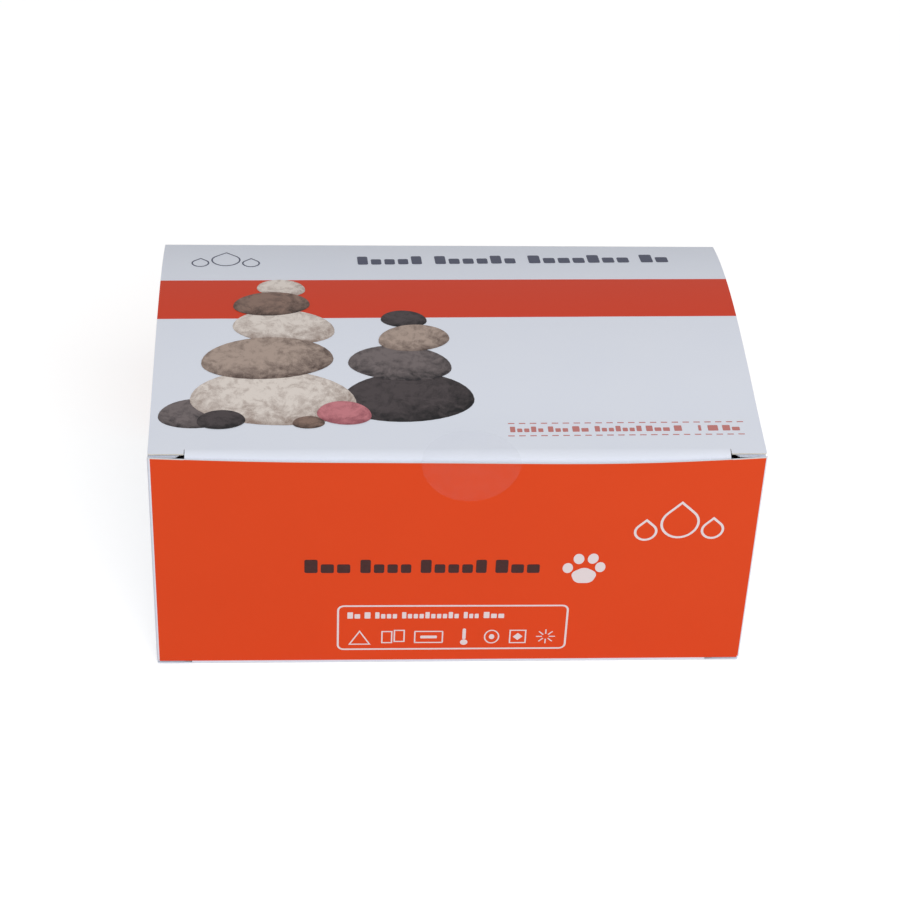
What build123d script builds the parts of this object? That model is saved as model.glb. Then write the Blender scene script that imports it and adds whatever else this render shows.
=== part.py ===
from build123d import *
import os
from math import acos, atan, atan2, cos, degrees, hypot, pi, sin, tan

# A closed straight tuck end carton of coated board, held shut by one clear round seal.
# Millimetres. X is the width, the front panel faces -Y, Z is up, and the origin is the
# middle of the base on the table. The height leaves out the arch of the lid.

# Carton
width = 190.0
depth = 122.0
height = 84.3
board = 0.5
crease_radius = 0.9

# Front panel: its raw top and bottom edges, and the bow of the top one as three half waves
front_drop = 0.3
front_lift = 2.1
front_corner_lift = 0.6
bow_first = 3.02
bow_second = -0.43
bow_third = 0.45

# Lid, arched up by the flaps under it, more at the left than at the right
rise_left = 5.3
rise_right = 5.0
rise_skew = 0.7
lid_side_clearance = 0.1
lid_corner_radius = 1.2
lid_rear_overlap = 0.3
score_setback = 4.1
score_lead = 0.3
straight_front = 16.0
rear_lead = 1.2

# Slit locks at both ends of a fold
lock_length = 11.1
lock_setback = 1.8
lock_inner_radius = 0.35
lock_outer_radius = 0.6
lock_step_share = 0.9
slit_gap = 0.2

# Tuck flaps behind the front panel
tuck_length = 18.0
tuck_clearance = 0.15
tuck_shoulder = 5.0
tuck_taper = 4.0
tuck_corner_radius = 8.0

# Dust flaps at the top and the bottom of each end panel
flap_length = 45.0
flap_tilt = 2.5
flap_seat = 0.6
flap_setback = 1.6
flap_shoulder = 8.5
flap_notch = 6.0
flap_taper = 22.0
flap_corner_radius = 5.0

# Base closure
base_score_setback = 1.5
base_lock_setback = 1.1
base_flap_seat = 0.1

# Glue flap inside the left end panel
glue_flap_length = 15.0
glue_flap_taper = 5.0
raw_edge_gap = 0.6

# Clear round seal, bent over the lid fold onto the front panel
seal_diameter = 30.5
seal_film = 0.12
seal_clearance = 0.06
seal_at = 3.5
seal_above = 15.5
seal_margin = 2.0

half_width = width / 2
free_half = half_width - crease_radius
lid_half = half_width - lid_side_clearance
lock_inner = half_width - lock_length
front = -depth / 2
back = depth / 2
front_top = height - front_drop
inner_radius = crease_radius - board
score = front + score_setback
tuck_face = front + board + tuck_clearance
end_top = height - board - flap_seat - crease_radius
end_bottom = board + base_flap_seat + crease_radius
oversize = width + depth + height


def evenly(start, end, count):
    return [start + (end - start) * i / (count - 1) for i in range(count)]


def along(point, angle, distance):
    x, y, *_ = point
    return (x + distance * cos(angle), y + distance * sin(angle))


def bow(x):
    """How far the top edge of the front panel stands out in front of its bottom edge."""
    turn = pi * (x + free_half) / (2 * free_half)
    return bow_first * sin(turn) + bow_second * sin(2 * turn) + bow_third * sin(3 * turn)


def lean(x):
    """Angle by which the bowed front panel leans out at x."""
    return atan(bow(x) / front_top)


def rise_at(x):
    return rise_left + (rise_right - rise_left) * (x + half_width) / width


def rear_slope(x):
    return rise_at(x) * 4 * (1 + rise_skew) / depth


def arch_height(x, y):
    """Top of the arched lid."""
    share = (back - y) / depth
    return height + rise_at(x) * 4 * share * (1 - share) * (1 + rise_skew * (1 - 2 * share))


def front_slope(x):
    """Fall of the straight stretch, from the arch to the top of the front panel."""
    return (arch_height(x, front + straight_front) - height) / straight_front


def straight_height(x, y):
    """Top of the straight stretch of the lid behind the front panel."""
    return height + front_slope(x) * (y - front)


# Front panel: straight at the bottom, bowed out at the top

def front_edge(z):
    """Section of the front panel at one height."""
    stations = evenly(-free_half, free_half, 13)
    share = z / front_top
    with BuildSketch(Plane.XY.offset(z)) as edge:
        with BuildLine():
            outer = Spline(*[(x, front - share * bow(x)) for x in stations])
            inner = Spline(*[(x, front - share * bow(x) + board) for x in stations])
            Line(outer @ 0, inner @ 0)
            Line(outer @ 1, inner @ 1)
        make_face()
    return edge.sketch


with BuildPart() as front_panel:
    add(front_edge(front_lift))
    add(front_edge(front_top))
    loft(ruled=True)


# Back panel, between the creases of the base and the lid

with BuildPart() as back_panel:
    with BuildSketch(Plane.XY.offset(crease_radius)):
        with Locations((board / 2, back - board / 2)):
            Rectangle(2 * free_half - board, board)
    extrude(amount=height - rear_lead - crease_radius)


# End panels with the rounded vertical creases beside them

def crease_ring(plane, x, y, start):
    """Quarter ring of a vertical crease about its bend centre."""
    with BuildSketch(plane) as ring:
        with BuildLine():
            outer = CenterArc((x, y), crease_radius, start, 90)
            inner = CenterArc((x, y), inner_radius, start, 90)
            Line(outer @ 0, inner @ 0)
            Line(outer @ 1, inner @ 1)
        make_face()
    return ring.sketch


def wall(x_low, x_high, y_low, y_high):
    with BuildSketch(Plane.XY.offset(end_bottom)) as section:
        with Locations(((x_low + x_high) / 2, (y_low + y_high) / 2)):
            Rectangle(x_high - x_low, y_high - y_low)
    return section.sketch


with BuildPart() as end_panels:
    low = Plane.XY.offset(end_bottom)
    add(wall(half_width - board, half_width, front + crease_radius, back - crease_radius))
    add(crease_ring(low, free_half, back - crease_radius, 0))
    add(wall(-half_width, board - half_width, front + crease_radius, back - raw_edge_gap))
    extrude(amount=end_top - end_bottom)
    corner = Plane.XY.offset(front_lift + front_corner_lift)
    add(crease_ring(corner, free_half, front + crease_radius, 270))
    add(crease_ring(corner, -free_half, front + crease_radius, 180))
    extrude(amount=front_top - front_lift - front_corner_lift)


# Glue flap, turned in at the left rear corner and glued inside the left end panel

with BuildPart() as glue_flap:
    glue_face = board - half_width
    glue_bend = back - crease_radius
    add(crease_ring(Plane.XY.offset(end_bottom), glue_face + crease_radius, glue_bend, 90))
    extrude(amount=end_top - end_bottom)
    with BuildSketch(Plane.YZ.offset(glue_face)):
        with BuildLine():
            Polyline(
                (glue_bend, end_bottom),
                (glue_bend, end_top),
                (glue_bend - glue_flap_length, end_top - glue_flap_taper),
                (glue_bend - glue_flap_length, end_bottom + glue_flap_taper),
                close=True,
            )
        make_face()
    extrude(amount=board)


# Closures: the outline of a panel seen from above, with a lock tongue at each front corner

def closure_outline(plane, score_line, lock_edge):
    rear = back + lid_rear_overlap
    with BuildSketch(plane) as outline:
        with BuildLine():
            Polyline(
                (-lid_half, rear),
                (-lid_half, lock_edge),
                (-lock_inner, lock_edge),
                (-lock_inner, score_line),
                (lock_inner, score_line),
                (lock_inner, lock_edge),
                (lid_half, lock_edge),
                (lid_half, rear),
                close=True,
            )
        make_face()
        fillet(outline.vertices().group_by(Axis.Y)[-1], lid_corner_radius)
        tips = outline.vertices().group_by(Axis.Y)[0].sort_by(Axis.X)
        fillet(tips[1:3], min(lock_inner_radius, lock_step_share * (score_line - lock_edge)))
        tips = outline.vertices().group_by(Axis.Y)[0].sort_by(Axis.X)
        fillet([tips[0], tips[-1]], lock_outer_radius)
    return outline.sketch


def tuck_outline(top, end):
    """Outline of a tuck flap seen from the front, from its fold to its rounded free edge."""
    tuck_half = lock_inner - slit_gap
    way = 1 if end > top else -1
    with BuildSketch(Plane.XZ) as outline:
        with BuildLine():
            Polyline(
                (-tuck_half, top),
                (-tuck_half, end - way * (tuck_length - tuck_shoulder)),
                (tuck_taper - tuck_half, end),
                (tuck_half - tuck_taper, end),
                (tuck_half, end - way * (tuck_length - tuck_shoulder)),
                (tuck_half, top),
                close=True,
            )
        make_face()
        ends = outline.vertices().filter_by_position(Axis.Y, end, end)
        fillet(ends, tuck_corner_radius)
    return outline.sketch


# Lid: rear crease, arched panel and the two lock tongues

def lid_strip(x):
    """Section of the lid and its rear crease, from the back panel past the lock edge."""
    rear_angle = atan(rear_slope(x))
    turn = pi / 2 - rear_angle
    start = height - 2 * rear_lead
    bend_start = height - crease_radius * tan(turn / 2)
    bend = front + straight_front
    arch = [back - depth * share for share in (0.25, 0.5, 0.75)]
    top = [(y, arch_height(x, y)) for y in arch] + [(bend, straight_height(x, bend))]
    under = [(y, z - board) for y, z in reversed(top)]
    with BuildSketch(Plane.YZ.offset(x)) as strip:
        with BuildLine():
            outer_lead = Line((back, start), (back, bend_start))
            outer_crease = JernArc(outer_lead @ 1, (0, 1), crease_radius, degrees(turn))
            inner_lead = Line((back - board, start), (back - board, bend_start))
            inner_crease = JernArc(inner_lead @ 1, (0, 1), inner_radius, degrees(turn))
            Spline(outer_crease @ 1, *top, tangents=[(-1, rear_slope(x)), (-1, -front_slope(x))])
            Spline(*under, inner_crease @ 1, tangents=[(1, front_slope(x)), (1, -rear_slope(x))])
            Polyline(top[-1], (front, height), (front, height - board), under[0])
            Line(outer_lead @ 0, inner_lead @ 0)
        make_face()
    return strip.sketch


with BuildPart() as lid_panel:
    add(lid_strip(-half_width))
    add(lid_strip(half_width))
    loft(ruled=True)
    add(closure_outline(Plane.XY.offset(height - rear_lead), score, front + lock_setback))
    extrude(amount=oversize, mode=Mode.INTERSECT)


# Lid fold: starts at the straight score line and reaches the bowed front panel, whose inner
# face the tuck flap then follows down

def fold_start(x):
    """Where the bend of the lid fold starts, its direction, its turn and its radius."""
    heading = pi + atan(front_slope(x))
    start = along((score, straight_height(x, score)), heading, score_lead)
    spread = bow(x) / front_top
    reach = (start[0] - tuck_face + spread * start[1]) / (-cos(heading) - spread * sin(heading))
    turn = 3 * pi / 2 + lean(x) - heading
    return start, heading, turn, reach / tan(turn / 2)


def fold_strip(x):
    """Section of the lid fold and its tuck flap."""
    start, heading, turn, radius = fold_start(x)
    fall = heading + turn
    inward = heading + pi / 2
    outer_score = (score, straight_height(x, score))
    inner_score = (score, straight_height(x, score) - board)
    with BuildSketch(Plane.YZ.offset(x)) as strip:
        with BuildLine():
            Polyline(along(start, inward, board), inner_score, outer_score, start)
            outer = JernArc(start, (cos(heading), sin(heading)), radius, degrees(turn))
            inner = JernArc(along(start, inward, board), (cos(heading), sin(heading)),
                            radius - board, degrees(turn))
            free = along(outer @ 1, fall, tuck_length)
            Polyline(outer @ 1, free, along(free, fall + pi / 2, board), inner @ 1)
        make_face()
    return strip.sketch


with BuildPart() as lid_fold:
    for x in evenly(-lock_inner, lock_inner, 9):
        add(fold_strip(x))
    loft()
    add(tuck_outline(height + tuck_length, height - tuck_length))
    extrude(amount=oversize, dir=(0, 1, 0), both=True, mode=Mode.INTERSECT)


# Base: the same closure, flat, with a tight fold

with BuildPart() as base_panel:
    base_score = front + base_score_setback
    with BuildSketch(Plane.YZ) as base_strip:
        with BuildLine():
            floor = Line((front, 0), (back - crease_radius, 0))
            outer_bend = JernArc(floor @ 1, (1, 0), crease_radius, 90)
            inner_floor = Line((front, board), (back - crease_radius, board))
            inner_bend = JernArc(inner_floor @ 1, (1, 0), inner_radius, 90)
            Line(outer_bend @ 1, inner_bend @ 1)
            Line(floor @ 0, inner_floor @ 0)
        make_face()
    extrude(amount=half_width, both=True)
    add(closure_outline(Plane.XY, base_score, front + base_lock_setback))
    extrude(amount=height, mode=Mode.INTERSECT)


with BuildPart() as base_fold:
    base_fold_radius = base_score - tuck_face
    with BuildSketch(Plane.YZ):
        with BuildLine():
            outer_bend = JernArc((base_score, 0), (-1, 0), base_fold_radius, -90)
            inner_bend = JernArc((base_score, board), (-1, 0), base_fold_radius - board, -90)
            Line(outer_bend @ 0, inner_bend @ 0)
            Polyline(outer_bend @ 1, (tuck_face, tuck_length + board),
                     (tuck_face + board, tuck_length + board), inner_bend @ 1)
        make_face()
    extrude(amount=half_width, both=True)
    add(tuck_outline(-tuck_length, tuck_length))
    extrude(amount=oversize, dir=(0, 1, 0), both=True, mode=Mode.INTERSECT)


# Dust flaps: turned in from the end panels, the top pair tilted up under the arched lid

def dust_flap(edge, way, tilt):
    """Right-hand dust flap on the edge at height edge, turned in upwards (1) or downwards (-1)."""
    turn = 90 - tilt
    outline_end = free_half - flap_length
    with BuildPart() as flap:
        with BuildSketch(Plane.XZ):
            with BuildLine():
                outer = JernArc((half_width, edge), (0, way), crease_radius, way * turn)
                inner = JernArc((half_width - board, edge), (0, way), inner_radius, way * turn)
                Line(outer @ 0, inner @ 0)
                far_outer = Line(outer @ 1, outer @ 1 + (outer % 1) * flap_length)
                far_inner = Line(inner @ 1, inner @ 1 + (inner % 1) * flap_length)
                Line(far_outer @ 1, far_inner @ 1)
            make_face()
        extrude(amount=oversize, both=True)
        with BuildSketch(Plane.XY.offset(edge - oversize / 2)) as outline:
            with BuildLine():
                Polyline(
                    (half_width + board, front + flap_setback),
                    (half_width - flap_shoulder, front + flap_setback),
                    (half_width - flap_shoulder - flap_notch, front + flap_setback + flap_notch),
                    (outline_end, front + flap_setback + flap_taper),
                    (outline_end, back - flap_setback - flap_taper),
                    (half_width - flap_shoulder, back - flap_setback),
                    (half_width + board, back - flap_setback),
                    close=True,
                )
            make_face()
            fillet(outline.vertices().group_by(Axis.X)[0], flap_corner_radius)
        extrude(amount=oversize, mode=Mode.INTERSECT)
    return flap.part


with BuildPart() as dust_flaps:
    add(dust_flap(end_top, 1, flap_tilt))
    add(dust_flap(end_bottom, -1, 0))
    mirror(about=Plane.YZ)


# The folded sheet

with BuildPart() as carton:
    add(front_panel.part)
    add(end_panels.part)
    add(back_panel.part)
    add(glue_flap.part)
    add(base_panel.part)
    add(base_fold.part)
    add(lid_panel.part)
    add(lid_fold.part)
    add(dust_flaps.part)


# Clear seal: flat on the lid, round the fold, over the raw edge and down the front panel

def seal_path(x, lift):
    """Corners of the film's section at a lift above the board."""
    start, heading, turn, radius = fold_start(x)
    outward = heading - pi / 2
    centre = along(start, heading + pi / 2, radius)
    edge = (front - bow(x) - seal_clearance, front_top + seal_clearance)
    to_edge = atan2(edge[1] - centre[1], edge[0] - centre[0])
    span = hypot(edge[0] - centre[0], edge[1] - centre[1])
    ring = radius + seal_clearance
    sweep = to_edge - acos(ring / span) - outward
    return along(start, outward, lift), heading, sweep, radius + lift, edge


def seal_strip(x):
    """Section of the film."""
    lifts = (seal_clearance, seal_clearance + seal_film)
    rear = (front + straight_front, straight_height(x, front + straight_front))
    fall = 3 * pi / 2 + lean(x)
    with BuildSketch(Plane.YZ.offset(x)) as strip:
        with BuildLine():
            ends = []
            for lift in lifts:
                start, heading, sweep, radius, edge = seal_path(x, lift)
                rest = along(rear, heading - pi / 2, lift)
                Line(rest, start)
                over = JernArc(start, (cos(heading), sin(heading)), radius, degrees(sweep))
                leave = heading + sweep
                film = lift - seal_clearance
                corner = along(edge, leave - pi / 2, film)
                Line(over @ 1, corner)
                if film:
                    round_edge = JernArc(corner, (cos(leave), sin(leave)), film,
                                         degrees(fall - leave))
                    corner = round_edge @ 1
                foot = along(corner, fall, seal_diameter - seal_above + seal_margin)
                Line(corner, foot)
                ends.append((rest, foot))
            Line(ends[0][0], ends[1][0])
            Line(ends[0][1], ends[1][1])
        make_face()
    return strip.sketch


def seal_plane():
    """Plane parallel to the bent disc's chord, clear of the film, and half the chord."""
    start, heading, sweep, radius, edge = seal_path(seal_at, seal_clearance)
    over = hypot(*(a - b for a, b in zip(edge, start)))
    top = along(start, heading, over - seal_above)
    foot = along(edge, 3 * pi / 2 + lean(seal_at), seal_diameter - seal_above)
    rise = (top[0] - foot[0], top[1] - foot[1])
    middle = (seal_at, (top[0] + foot[0]) / 2, (top[1] + foot[1]) / 2)
    plane = Plane(origin=middle, x_dir=(1, 0, 0), z_dir=(0, -rise[1], rise[0]))
    return plane.offset(-seal_diameter), hypot(*rise) / 2


with BuildPart() as seal_label:
    reach = seal_diameter / 2 + seal_margin
    for x in evenly(seal_at - reach, seal_at + reach, 5):
        add(seal_strip(x))
    loft()
    disc_plane, disc_half_height = seal_plane()
    with BuildSketch(disc_plane):
        Ellipse(seal_diameter / 2, disc_half_height)
    extrude(amount=2 * seal_diameter, mode=Mode.INTERSECT)


os.makedirs("parts", exist_ok=True)
carton.part.label = "carton"
export_step(carton.part, "parts/carton.step")
seal_label.part.label = "seal_label"
export_step(seal_label.part, "parts/seal_label.step")
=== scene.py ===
from math import cos, pi, radians, sin

import bpy
from mathutils import Matrix, Vector


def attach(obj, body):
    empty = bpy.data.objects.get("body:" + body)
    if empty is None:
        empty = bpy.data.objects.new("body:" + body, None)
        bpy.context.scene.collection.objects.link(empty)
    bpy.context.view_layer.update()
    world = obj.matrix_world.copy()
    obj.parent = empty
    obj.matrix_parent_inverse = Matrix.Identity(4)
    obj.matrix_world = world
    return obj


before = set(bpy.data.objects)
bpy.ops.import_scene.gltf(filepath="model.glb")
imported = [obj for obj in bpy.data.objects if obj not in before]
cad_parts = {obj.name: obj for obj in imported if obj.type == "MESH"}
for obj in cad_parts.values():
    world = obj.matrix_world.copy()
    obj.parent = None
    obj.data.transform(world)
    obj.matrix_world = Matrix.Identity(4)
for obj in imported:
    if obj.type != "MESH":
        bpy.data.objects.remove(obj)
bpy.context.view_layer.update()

mm = 0.001
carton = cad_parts["carton"]
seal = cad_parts["seal_label"]


# Camera, at the photograph's place

cameraSetup = {
    "place": (-0.04767, -0.63164, 0.51504),
    "downwards": 36.779,  # degrees
    "towardsRight": 4.458,
    "roll": 2.599,
    "lens": 94.03,
    "sensor": 36,
    "near": 0.05,
    "far": 20,
}


def addCamera(setup):
    lens = bpy.data.cameras.new("camera")
    lens.lens = setup["lens"]
    lens.sensor_width = setup["sensor"]
    lens.clip_start = setup["near"]
    lens.clip_end = setup["far"]
    camera = bpy.data.objects.new("camera", lens)
    bpy.context.scene.collection.objects.link(camera)
    turn = Matrix.Rotation(radians(-setup["towardsRight"]), 4, "Z")
    turn = turn @ Matrix.Rotation(radians(90 - setup["downwards"]), 4, "X")
    turn = turn @ Matrix.Rotation(radians(setup["roll"]), 4, "Z")
    camera.matrix_world = Matrix.Translation(setup["place"]) @ turn
    bpy.context.scene.camera = camera
    print("camera placed")


# Shader expressions: a Socket is an output of a node, and maths on it adds nodes

class Socket:
    def __init__(self, tree, output=None):
        self.tree = tree
        self.output = output

    def node(self, kind, settings, values, output=0):
        made = self.tree.nodes.new("ShaderNode" + kind)
        for name, setting in settings.items():
            setattr(made, name, setting)
        for name, value in values.items():
            if isinstance(value, Socket):
                self.tree.links.new(value.output, made.inputs[name])
            else:
                made.inputs[name].default_value = value
        return Socket(self.tree, made.outputs[output])

    def maths(self, operation, *values):
        return self.node("Math", {"operation": operation}, dict(enumerate(values)))

    def __add__(self, other):
        return self.maths("ADD", self, other)

    __radd__ = __add__

    def __sub__(self, other):
        return self.maths("SUBTRACT", self, other)

    def __rsub__(self, other):
        return self.maths("SUBTRACT", other, self)

    def __mul__(self, other):
        return self.maths("MULTIPLY", self, other)

    def __truediv__(self, other):
        return self.maths("DIVIDE", self, other)

    def __abs__(self):
        return self.maths("ABSOLUTE", self)

    def either(self, other):  # the sum, at most 1
        return self.node("Math", {"operation": "ADD", "use_clamp": True}, {0: self, 1: other})

    def past(self, edge, soft=0.15):  # 0 before the edge, 1 past it, soft mm wide
        return ((self - edge) / soft).either(0.5)

    def mix(self, first, second):  # colours: first at 0, second at 1
        return self.node("Mix", {"data_type": "RGBA"}, {0: self, 6: first, 7: second}, 2)


def paint(red, green, blue):  # a colour as seen on a screen, 0 to 255
    linear = [c / 12.92 if c <= 0.04045 else ((c + 0.055) / 1.055) ** 2.4
              for c in (red / 255, green / 255, blue / 255)]
    return (*linear, 1)


def startMaterial(name):
    material = bpy.data.materials.new(name)
    material.use_nodes = True
    material.node_tree.nodes.clear()
    return material, Socket(material.node_tree)


def endMaterial(start, shader):
    target = start.tree.nodes.new("ShaderNodeOutputMaterial")
    start.tree.links.new(shader.output, target.inputs["Surface"])


def placeInMm(start):  # the surface's own place, in millimetres
    place = start.node("TexCoord", {}, {}, "Object")
    return place.node("VectorMath", {"operation": "SCALE"}, {0: place, "Scale": 1 / mm})


def parts(vector):
    return [vector.node("SeparateXYZ", {}, {0: vector}, axis) for axis in "XYZ"]


def noise(place, scale, detail=2, roughness=0.5):  # scale in repeats per millimetre
    values = {"Vector": place, "Scale": scale, "Detail": detail, "Roughness": roughness}
    return place.node("TexNoise", {}, values, "Fac")


# Printed board: the carton's shape in mm, as far as its colours need it

boxShape = {
    "height": 84.3,
    "depth": 122.0,
    "rise": 5.15,  # of the arched lid, at the middle of the width
    "riseSlope": -0.0016,
    "skew": 0.7,  # how far the arch leans to the rear
    "frontTop": 84.0,
    "creased": 94.1,  # from the middle to each end of the front panel
    "bow": (3.02, -0.43, 0.45),  # half waves over the front panel's width
}

boardLook = {
    "white": (paint(241, 245, 255), paint(237, 242, 254)),  # each colour wanders between two
    "orange": (paint(230, 71, 14), paint(227, 68, 12)),
    "stripe": paint(222, 68, 40),
    "core": paint(236, 231, 220),
    "stripeLow": 7.7,  # mm behind the middle, both edges at x = 0
    "stripeHigh": 30.97,
    "stripeSlope": 0.0153,
    "inkLeft": 94.12,
    "inkRight": 94.45,
    "inkBack": 60.9,
    "inkBackTop": 83.0,
    "lidSkin": 0.3,  # how far below the lid's top or behind the front the ink reaches
    "frontSkin": 0.2,
    "rawAbove": 83.7,  # cut edges of the lid, and the blunt ends of its lock tongues
    "tongueAbove": 83.9,
    "tongueOutside": 83.9,
    "rawSoft": 0.2,
    "facing": 0.8,  # how squarely a cut edge, the front and the back look their way
    "facingFront": 0.3,
    "facingBack": 0.7,
    "crisp": 0.05,
    "soft": 0.1,
    "mottle": 0.05,
    "fibre": 3.0,
    "fibreRoughness": 0.65,
    "roughness": 0.44,
    "roughnessSpread": 0.12,
    "specular": 0.25,
    "bump": 0.12,
    "bumpDepth": 0.02,
}


def lidHeight(x, y):  # top of the arched lid
    share = (boxShape["depth"] / 2 - y) / boxShape["depth"]
    rise = boxShape["rise"] + x * boxShape["riseSlope"]
    lean = 1 + (1 - share * 2) * boxShape["skew"]
    return rise * share * (1 - share) * lean * 4 + boxShape["height"]


def frontDepth(x, z):  # how far the bowed front panel stands before the middle
    turn = (x + boxShape["creased"]) * (pi / 2 / boxShape["creased"])
    waves = [turn.maths("SINE", turn * (count + 1)) * size
             for count, size in enumerate(boxShape["bow"])]
    return (waves[0] + waves[1] + waves[2]) * z / boxShape["frontTop"] + boxShape["depth"] / 2


def boardMaterial(look):
    material, start = startMaterial("printed board")
    place = placeInMm(start)
    x, y, z = parts(place)
    right, rear, up = parts(start.node("TexCoord", {}, {}, "Normal"))
    front = 0 - rear
    crisp, soft = look["crisp"], look["soft"]

    onLid = z.past(lidHeight(x, y) - look["lidSkin"], soft)
    aboveLow = (y - x * look["stripeSlope"]).past(look["stripeLow"])
    belowHigh = (x * look["stripeSlope"] - y).past(-look["stripeHigh"])
    stripe = onLid * aboveLow * belowHigh

    onPanel = (0 - y - frontDepth(x, z)).past(-look["frontSkin"], crisp)
    onFront = onPanel * (boxShape["frontTop"] - z).past(0, crisp)
    onFront = onFront * front.past(look["facingFront"], soft)
    onFront = onFront * (look["inkRight"] - x).past(0) * (x + look["inkLeft"]).past(0)
    onBack = y.past(look["inkBack"], crisp) * (look["inkBackTop"] - z).past(0, soft)
    onBack = onBack * rear.past(look["facingBack"], soft)

    mottle = noise(place, look["mottle"], 3)
    fibre = noise(place, look["fibre"], 3, look["fibreRoughness"])
    orange = stripe.mix(mottle.mix(*look["orange"]), look["stripe"])
    colour = (stripe + onFront).either(onBack).mix(mottle.mix(*look["white"]), orange)

    rawSide = abs(right).past(look["facing"], soft) * z.past(look["rawAbove"], look["rawSoft"])
    rawTop = up.past(look["facing"], soft) * onPanel
    tongueEnd = front.past(look["facing"], soft) * z.past(look["tongueAbove"], soft)
    tongueEnd = tongueEnd * abs(x).past(look["tongueOutside"], soft)
    colour = (rawSide + rawTop + tongueEnd).mix(colour, look["core"])

    bump = start.node("Bump", {}, {
        "Strength": look["bump"],
        "Distance": look["bumpDepth"] * mm,
        "Height": fibre,
    })
    shader = start.node("BsdfPrincipled", {}, {
        "Base Color": colour,
        "Roughness": fibre * look["roughnessSpread"] + look["roughness"],
        "Specular IOR Level": look["specular"],
        "Normal": bump,
    })
    endMaterial(start, shader)
    return material


# Clear film of the seal

filmLook = {
    "tint": paint(225, 225, 232),
    "body": 0.006,
    "bodySpread": 0.024,
    "cloud": 0.25,
    "roughness": 0.35,
    "roughnessSpread": 0.1,
    "specular": 0.15,
}


def filmMaterial(look):
    material, start = startMaterial("clear film")
    cloud = noise(placeInMm(start), look["cloud"])
    shader = start.node("BsdfPrincipled", {}, {
        "Base Color": look["tint"],
        "Roughness": cloud * look["roughnessSpread"] + look["roughness"],
        "Alpha": cloud * look["bodySpread"] + look["body"],
        "Specular IOR Level": look["specular"],
    })
    endMaterial(start, shader)
    return material


# Printed marks: flat shapes drawn in millimetres, cut by a grid and laid on the board

printLook = {
    "lift": 0.03,
    "thickness": 0.02,
    "gridX": 6.0,
    "gridY": 3.0,
    "gridShift": 0.0137,  # keeps the cuts off the shapes' own points
    "reach": 98.0,
    "before": 80.0,  # where a sheet for the front starts, and one for the lid
    "above": 100.0,
    "roundingSteps": 5,
    "dropRounding": 0.49,  # share of the drop's size
    "dropSteps": 7,
}


def only(piece):
    bpy.ops.object.select_all(action="DESELECT")
    piece.select_set(True)
    bpy.context.view_layer.objects.active = piece


def pick(shape, wanted):  # selects the wanted points and enters edit mode
    bpy.ops.object.mode_set(mode="EDIT")
    bpy.ops.mesh.select_all(action="DESELECT")
    bpy.ops.object.mode_set(mode="OBJECT")
    for point in shape.data.vertices:
        point.select = wanted(point.co)
    bpy.ops.object.mode_set(mode="EDIT")


def sized(width, height):  # the primitive just added, at its size
    shape = bpy.context.object
    only(shape)
    shape.scale = (width, height, 1)
    bpy.ops.object.transform_apply(location=False, rotation=False, scale=True)
    return shape


def outlined(shape, stroke, turn):  # leaves edit mode, with a line only where a stroke is given
    if stroke:
        bpy.ops.mesh.select_all(action="SELECT")
        bpy.ops.mesh.inset(thickness=stroke)
        bpy.ops.mesh.delete(type="FACE")
    bpy.ops.object.mode_set(mode="OBJECT")
    shape.rotation_euler[2] = radians(turn)
    return shape


def flatShape(width, height, turn, rounding, stroke):
    shape = sized(width, height)
    bpy.ops.object.mode_set(mode="EDIT")
    bpy.ops.mesh.select_all(action="SELECT")
    if rounding:
        bpy.ops.mesh.bevel(offset=rounding, segments=printLook["roundingSteps"],
                           affect="VERTICES")
    return outlined(shape, stroke, turn)


def bar(left, low, right, high, rounding=0, stroke=0, turn=0):
    middle = ((left + right) / 2, (low + high) / 2, 0)
    bpy.ops.mesh.primitive_plane_add(size=1, location=middle)
    return flatShape(right - left, high - low, turn, rounding, stroke)


def oval(x, y, halfWidth, halfHeight, turn=0, stroke=0, corners=40, rounding=0):
    bpy.ops.mesh.primitive_circle_add(vertices=corners, radius=1, fill_type="NGON",
                                      location=(x, y, 0))
    return flatShape(halfWidth, halfHeight, turn, rounding, stroke)


def drop(x, y, size, stroke):  # a square with three rounded corners, the sharp one upwards
    bpy.ops.mesh.primitive_plane_add(size=1, location=(x, y, 0))
    shape = sized(size, size)
    pick(shape, lambda corner: corner.x + corner.y < size / 2)
    bpy.ops.mesh.bevel(offset=size * printLook["dropRounding"],
                       segments=printLook["dropSteps"], affect="VERTICES")
    return outlined(shape, stroke, 45)


def wordRow(words, lines, blocks, slope=0):  # each word as a row of small rounded blocks
    low, high = lines
    made = []
    for left, right in words:
        count = max(1, round((right - left) / blocks["pitch"]))
        step = (right - left + blocks["gap"]) / count
        for number in range(count):
            start = left + number * step
            rise = (start - words[0][0]) * slope
            tall = blocks["tall"] if number % blocks["every"] == 0 else 0
            made.append(bar(start, low + rise, start + step - blocks["gap"], high + tall + rise,
                            blocks["rounding"], 0, slope * 180 / pi))
    return made


def join(shapes):
    bpy.ops.object.select_all(action="DESELECT")
    for shape in shapes:
        shape.select_set(True)
    bpy.context.view_layer.objects.active = shapes[0]
    bpy.ops.object.join()
    bpy.ops.object.transform_apply(location=True, rotation=True, scale=True)
    return bpy.context.object


def cut(piece, axis, step):  # parallel cuts, so that the shape can follow the board
    only(piece)
    bpy.ops.object.mode_set(mode="EDIT")
    count = int(printLook["reach"] / step)
    for number in range(-count, count + 1):
        place = [0, 0, 0]
        normal = [0, 0, 0]
        place[axis] = number * step + printLook["gridShift"]
        normal[axis] = 1
        bpy.ops.mesh.select_all(action="SELECT")
        bpy.ops.mesh.bisect(plane_co=place, plane_no=normal, threshold=0.0001)
    bpy.ops.object.mode_set(mode="OBJECT")


def addModifier(piece, kind, **settings):
    only(piece)
    modifier = piece.modifiers.new(kind.lower(), kind)
    for name, setting in settings.items():
        setattr(modifier, name, setting)
    bpy.ops.object.modifier_apply(modifier=modifier.name)


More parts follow.
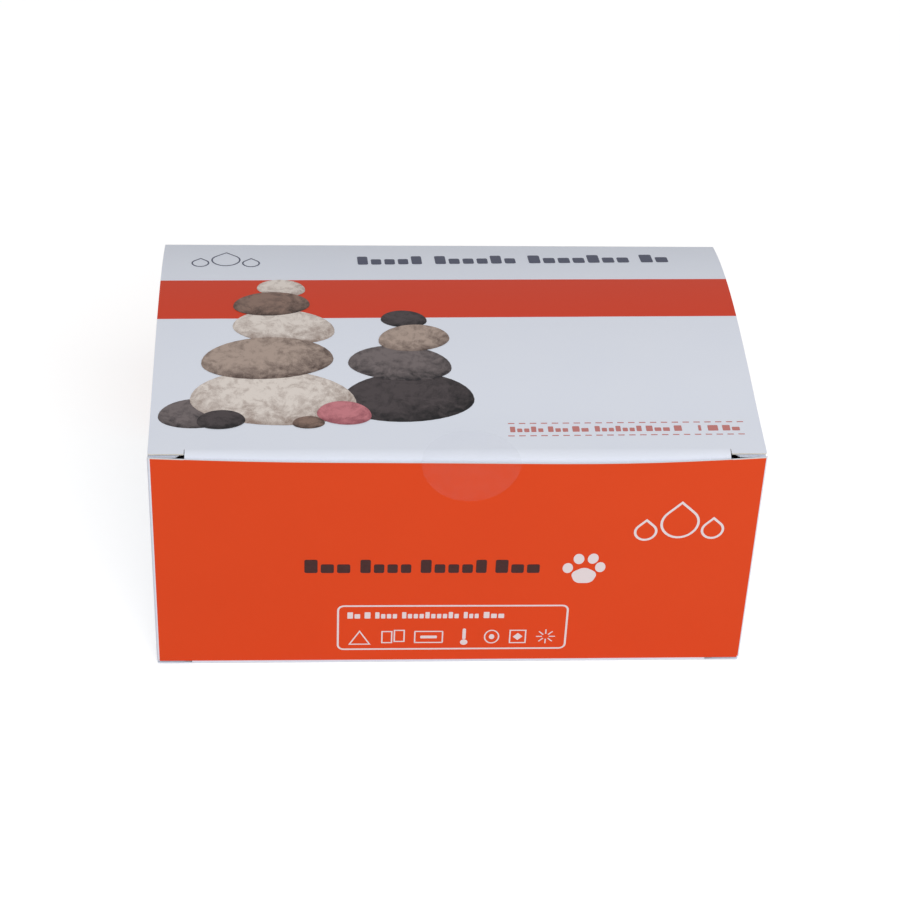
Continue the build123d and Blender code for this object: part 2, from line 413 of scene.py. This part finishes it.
def layOn(shapes, upright, layer=0):  # shapes joined, cut and wrapped on the lid or the front
    piece = join(shapes)
    cut(piece, 0, printLook["gridX"])
    cut(piece, 1, printLook["gridY"])
    only(piece)
    piece.scale = (mm, mm, mm)
    if upright:
        piece.rotation_euler[0] = pi / 2
        piece.location = (0, -printLook["before"] * mm, 0)
    else:
        piece.location = (0, 0, printLook["above"] * mm)
    bpy.ops.object.transform_apply(location=True, rotation=True, scale=True)
    addModifier(piece, "SHRINKWRAP", target=carton,
                wrap_method="PROJECT", wrap_mode="ABOVE_SURFACE",
                use_project_y=upright, use_project_z=not upright,
                use_positive_direction=upright, use_negative_direction=not upright,
                offset=(printLook["lift"] + layer * printLook["thickness"] * 2) * mm)
    addModifier(piece, "SOLIDIFY", thickness=printLook["thickness"] * mm, offset=1)
    return piece


inkLook = {
    "wear": 1.2,
    "wearEdge": 0.5,
    "wearSoft": 0.6,
    "faded": (0.96, 0.012),  # share of the ink that stays, and what the board adds
    "roughness": 0.5,
    "specular": 0.25,
}


def inkMaterial(name, colour):
    material, start = startMaterial(name)
    wear = noise(placeInMm(start), inkLook["wear"], 3)
    wear = wear.past(inkLook["wearEdge"], inkLook["wearSoft"])
    share, added = inkLook["faded"]
    faded = (*(c * share + added for c in colour[:3]), 1)
    shader = start.node("BsdfPrincipled", {}, {
        "Base Color": wear.mix(colour, faded),
        "Roughness": inkLook["roughness"],
        "Specular IOR Level": inkLook["specular"],
    })
    endMaterial(start, shader)
    return material


def finishPiece(piece, name):
    piece.name = name
    piece.data.name = name
    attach(piece, "root")
    print(name, "laid on,", len(piece.data.polygons), "faces")


# Picture on the lid: two piles of river pebbles

pictureLook = {
    # the lit and the dark colour of each stone
    "stones": {
        "cream": (paint(240, 230, 222), paint(158, 138, 128)),
        "taupe": (paint(186, 166, 154), paint(92, 76, 70)),
        "brown": (paint(146, 120, 108), paint(60, 46, 42)),
        "slate": (paint(122, 112, 112), paint(40, 36, 40)),
        "charcoal": (paint(78, 70, 72), paint(14, 12, 16)),
        "pink": (paint(212, 134, 142), paint(150, 82, 92)),
    },
    # x and y of the middle, half width, half height, turn in degrees, layer, stone
    "pebbles": (
        (-81, -41.5, 11.5, 8.0, 3, 0, "slate"),
        (-57, -35, 26, 15.0, -3, 1, "cream"),
        (-59, -15.5, 21, 12.0, 4, 2, "taupe"),
        (-54, 1.0, 16.5, 10.5, -6, 1, "cream"),
        (-58, 14.0, 12.5, 8.0, 4, 2, "brown"),
        (-55, 24.0, 8.0, 6.2, -7, 1, "cream"),
        (-15, -34.5, 21, 13.5, 3, 0, "charcoal"),
        (-17, -17.5, 16.5, 10.0, -5, 1, "slate"),
        (-12, -4.5, 11.5, 8.0, 6, 2, "taupe"),
        (-15, 6.0, 7.5, 5.4, -4, 1, "charcoal"),
        (-35, -41.0, 8.5, 6.4, -6, 3, "pink"),
        (-73, -44.0, 7.5, 5.2, 4, 3, "charcoal"),
        (-46, -45.0, 5.0, 3.4, 2, 2, "brown"),
    ),
    "layers": 4,
    "flattened": 0.72,  # the lower half of each pebble against its upper half
}

stoneLook = {
    "lit": (0.42, 0.66),  # brightest place, as shares of the pebble's width and height
    "shade": 1.9,
    "bend": 0.09,
    "bendReach": 9,
    "veins": 0.35,
    "veinRoughness": 0.6,
    "veinDepth": 2.2,
    "grain": 3.5,
    "grainDepth": 0.7,
    "darkEdge": 0.5,
    "darkSoft": 1.0,
    "roughness": 0.5,
    "specular": 0.25,
}


def stoneMaterial(name, light, dark, look):
    material, start = startMaterial(name + " stone, printed")
    across, up, _ = parts(start.node("UVMap", {"uv_map": "UVMap"}, {}))
    place = placeInMm(start)
    bend = place.node("TexNoise", {}, {"Vector": place, "Scale": look["bend"], "Detail": 2.0},
                      "Color")
    warped = place.node("VectorMath", {"operation": "MULTIPLY_ADD"},
                        {0: bend, 1: (look["bendReach"],) * 3, 2: place})
    veins = noise(warped, look["veins"], 4, look["veinRoughness"]) - 0.5
    grain = noise(place, look["grain"]) - 0.5
    aside = across - look["lit"][0]
    above = up - look["lit"][1]
    fall = (aside * aside + above * above) * look["shade"]
    fall = fall + veins * look["veinDepth"] + grain * look["grainDepth"]
    shader = start.node("BsdfPrincipled", {}, {
        "Base Color": fall.past(look["darkEdge"], look["darkSoft"]).mix(light, dark),
        "Roughness": look["roughness"],
        "Specular IOR Level": look["specular"],
    })
    endMaterial(start, shader)
    return material


def pebble(x, y, halfWidth, halfHeight, turn, flattened):
    shape = oval(0, 0, halfWidth, halfHeight)
    pick(shape, lambda point: point.y < -0.01)
    bpy.ops.transform.resize(value=(1, flattened, 1), center_override=(0, 0, 0))
    bpy.ops.object.mode_set(mode="OBJECT")
    shape.location = (x, y, 0)
    shape.rotation_euler[2] = radians(turn)
    return shape


def addPicture(look):
    laid = []
    for stone, (light, dark) in look["stones"].items():
        material = stoneMaterial(stone, light, dark, stoneLook)
        for layer in range(look["layers"]):
            shapes = [pebble(*found[:5], look["flattened"]) for found in look["pebbles"]
                      if found[5:] == (layer, stone)]
            if shapes:
                laid.append(layOn(shapes, False, layer))
                laid[-1].data.materials.append(material)
    finishPiece(join(laid), "lid_picture")


# Marks on the lid: title blocks, three drops and the note between dashed lines

lidPrintLook = {
    "ink": paint(78, 82, 104),
    "red": paint(206, 132, 128),
    # left and right of each word, then the two lines that a row of words lies between
    "title": ((-29.3, -7.5), (-3.0, 24.5), (29.0, 63.5), (67.5, 77.0)),
    "titleLines": (41.9, 46.3),
    "titleSlope": 0.031,
    "titleBlocks": {"pitch": 4.7, "gap": 1.1, "tall": 2.4, "every": 4, "rounding": 0.7},
    "drops": ((-82.2, 42.6, 6.0), (-73.7, 45.2, 9.8), (-65.2, 42.6, 6.0)),
    "dropStroke": 0.5,
    "dashes": ((15.7, -45.05), (15.4, -50.95)),
    "dashSlope": 0.0123,
    "dashLength": 2.0,
    "dashStep": 3.42,
    "dashHeight": 0.42,
    "dashCount": 22,
    "note": ((16.2, 26.5), (28, 34.2), (35.6, 40.6), (42.6, 57.2), (58.6, 66), (67.4, 69.8),
             (75, 75.9), (78, 81.2), (82.6, 88.0)),
    "noteLines": (-49.2, -47.5),
    "noteBlocks": {"pitch": 2.2, "gap": 0.6, "tall": 0.9, "every": 3, "rounding": 0.25},
}


def dashedLine(startX, y, look):
    made = []
    for number in range(look["dashCount"]):
        left = startX + number * look["dashStep"]
        low = y + (left - startX) * look["dashSlope"] - look["dashHeight"] / 2
        made.append(bar(left, low, left + look["dashLength"], low + look["dashHeight"]))
    return made


def addLidPrint(look):
    dark = wordRow(look["title"], look["titleLines"], look["titleBlocks"], look["titleSlope"])
    dark += [drop(*place, look["dropStroke"]) for place in look["drops"]]
    dark = layOn(dark, False)
    dark.data.materials.append(inkMaterial("grey ink", look["ink"]))
    red = []
    for startX, y in look["dashes"]:
        red += dashedLine(startX, y, look)
    red += wordRow(look["note"], look["noteLines"], look["noteBlocks"], look["dashSlope"])
    red = layOn(red, False)
    red.data.materials.append(inkMaterial("red ink", look["red"]))
    finishPiece(join([dark, red]), "lid_print")


# Marks on the front: title blocks, a paw, three drops and a frame with seven plain signs

frontPrintLook = {
    "black": paint(58, 20, 18),
    "white": paint(238, 228, 230),
    "title": ((-47.4, -33.0), (-29.8, -13.8), (-10.8, 10.0), (12.8, 26.8)),
    "titleLines": (39.6, 43.2),
    "titleBlocks": {"pitch": 4.3, "gap": 1.0, "tall": 1.9, "every": 4, "rounding": 0.6},
    # ovals: middle, half width, half height, turn, stroke, corners, rounding
    "paw": (
        (35.7, 41.6, 1.65, 2.1),
        (39.0, 45.4, 1.7, 2.15, 8),
        (43.5, 45.5, 1.7, 2.15, -8),
        (46.0, 41.9, 1.65, 2.1),
        (41.0, 38.3, 4.6, 3.8, 0, 0, 5, 1.6),
    ),
    "drops": ((59.2, 56.4, 7.4), (69.8, 59.6, 12.4), (80.4, 56.4, 7.4)),
    "dropStroke": 0.8,
    # bars: left, low, right, high, rounding, stroke, turn
    "frame": (-37.0, 6.5, 37.3, 25.9, 2.2, 0.65),
    "words": ((-33.7, -29.6), (-28.2, -26.3), (-24.8, -17.8), (-16.2, 2.0), (3.6, 8.4), (10, 16.6)),
    "wordLines": (20.2, 22.1),
    "wordBlocks": {"pitch": 1.9, "gap": 0.5, "tall": 0.8, "every": 4, "rounding": 0.25},
    # triangle, folded sheet, ticket, gauge, ring and window, and the spark's rays below
    "signs": (
        (oval, -29.7, 10.9, 4.2, 4.2, 0, 0.45, 3),
        (bar, -22.7, 9.4, -19.1, 14.7, 0, 0.45),
        (bar, -18.7, 9.9, -15.1, 15.2, 0, 0.45),
        (bar, -12.1, 9.4, -2.7, 14.7, 0.3, 0.45),
        (bar, -10.1, 11.45, -4.7, 12.65, 0.3),
        (bar, 3.5, 11.0, 4.6, 15.7, 0.5),
        (oval, 4.05, 9.7, 1.2, 1.2),
        (oval, 13.0, 12.05, 2.5, 3.0, 0, 0.45),
        (oval, 13.0, 12.05, 0.9, 1.1),
        (bar, 18.7, 9.1, 24.2, 15.0, 0, 0.45),
        (bar, 20.3, 10.95, 22.6, 13.15, 0, 0, 45),
    ),
    "sparkPlace": (30.5, 12.05),
    "sparkReach": 2.1,
    "rayCount": 8,
    "rayHalf": (1.0, 0.2),  # half length, half width
}


def sparkRays(look):
    middleX, middleY = look["sparkPlace"]
    halfLength, halfWidth = look["rayHalf"]
    made = []
    for number in range(look["rayCount"]):
        turn = number * 360 / look["rayCount"]
        x = middleX + look["sparkReach"] * cos(radians(turn))
        y = middleY + look["sparkReach"] * sin(radians(turn))
        made.append(bar(x - halfLength, y - halfWidth, x + halfLength, y + halfWidth, 0, 0, turn))
    return made


def addFrontPrint(look):
    dark = layOn(wordRow(look["title"], look["titleLines"], look["titleBlocks"]), True)
    dark.data.materials.append(inkMaterial("black ink", look["black"]))
    white = [oval(*sizes) for sizes in look["paw"]]
    white += [drop(*place, look["dropStroke"]) for place in look["drops"]]
    white.append(bar(*look["frame"]))
    white += wordRow(look["words"], look["wordLines"], look["wordBlocks"])
    white += [draw(*sizes) for draw, *sizes in look["signs"]]
    white += sparkRays(look)
    white = layOn(white, True)
    white.data.materials.append(inkMaterial("white ink", look["white"]))
    finishPiece(join([dark, white]), "front_print")


# Studio: a white floor that keeps the shadow, an even world and one soft lamp

studio = {
    "floorSize": 6.0,
    "floorDrop": 0.0001,
    "floorColour": (0.8, 0.8, 0.8, 1),
    "floorGlow": 0.56,
    "worldLevel": 0.51,
    "keyPlace": (0.35, -1.15, 1.0),
    "keyTarget": (0, 0, 0.05),
    "keySize": 1.3,
    "keyPower": 12.5,
}


def seenDirectly(start):  # 1 for the camera and what it sees in or through the object
    rays = [start.node("LightPath", {}, {}, name)
            for name in ("Is Camera Ray", "Is Glossy Ray", "Is Transmission Ray")]
    return (rays[0] + rays[1]).either(rays[2])


def floorMaterial(look):
    material, start = startMaterial("white floor")
    plain = start.node("BsdfDiffuse", {}, {"Color": look["floorColour"]})
    glow = start.node("Emission", {}, {"Strength": look["floorGlow"]})
    bright = start.node("AddShader", {}, {0: plain, 1: glow})
    seen = seenDirectly(start)
    endMaterial(start, start.node("MixShader", {}, {0: seen, 1: plain, 2: bright}))
    return material


def addWorld(level):
    world = bpy.data.worlds.new("studio")
    bpy.context.scene.world = world
    world.use_nodes = True
    world.node_tree.nodes.clear()
    start = Socket(world.node_tree)
    strength = seenDirectly(start) * (1 - level) + level
    glow = start.node("Background", {}, {"Strength": strength})
    target = start.tree.nodes.new("ShaderNodeOutputWorld")
    start.tree.links.new(glow.output, target.inputs["Surface"])


def addStudio(look):
    bpy.ops.mesh.primitive_plane_add(size=look["floorSize"], location=(0, 0, -look["floorDrop"]))
    floor = bpy.context.object
    floor.name = "floor"
    floor.data.materials.append(floorMaterial(look))
    addWorld(look["worldLevel"])
    lamp = bpy.data.lights.new("key", "AREA")
    lamp.shape = "DISK"
    lamp.size = look["keySize"]
    lamp.energy = look["keyPower"]
    key = bpy.data.objects.new("key", lamp)
    bpy.context.scene.collection.objects.link(key)
    key.location = look["keyPlace"]
    aim = Vector(look["keyTarget"]) - key.location
    key.rotation_euler = aim.to_track_quat("-Z", "Y").to_euler()
    print("studio lit")


bpy.ops.object.select_all(action="DESELECT")
bpy.context.scene.view_settings.view_transform = "Standard"
addCamera(cameraSetup)
addStudio(studio)
carton.material_slots[0].material = boardMaterial(boardLook)
seal.material_slots[0].material = filmMaterial(filmLook)
print("materials set")
addPicture(pictureLook)
addLidPrint(lidPrintLook)
addFrontPrint(frontPrintLook)
print("print laid on the board")
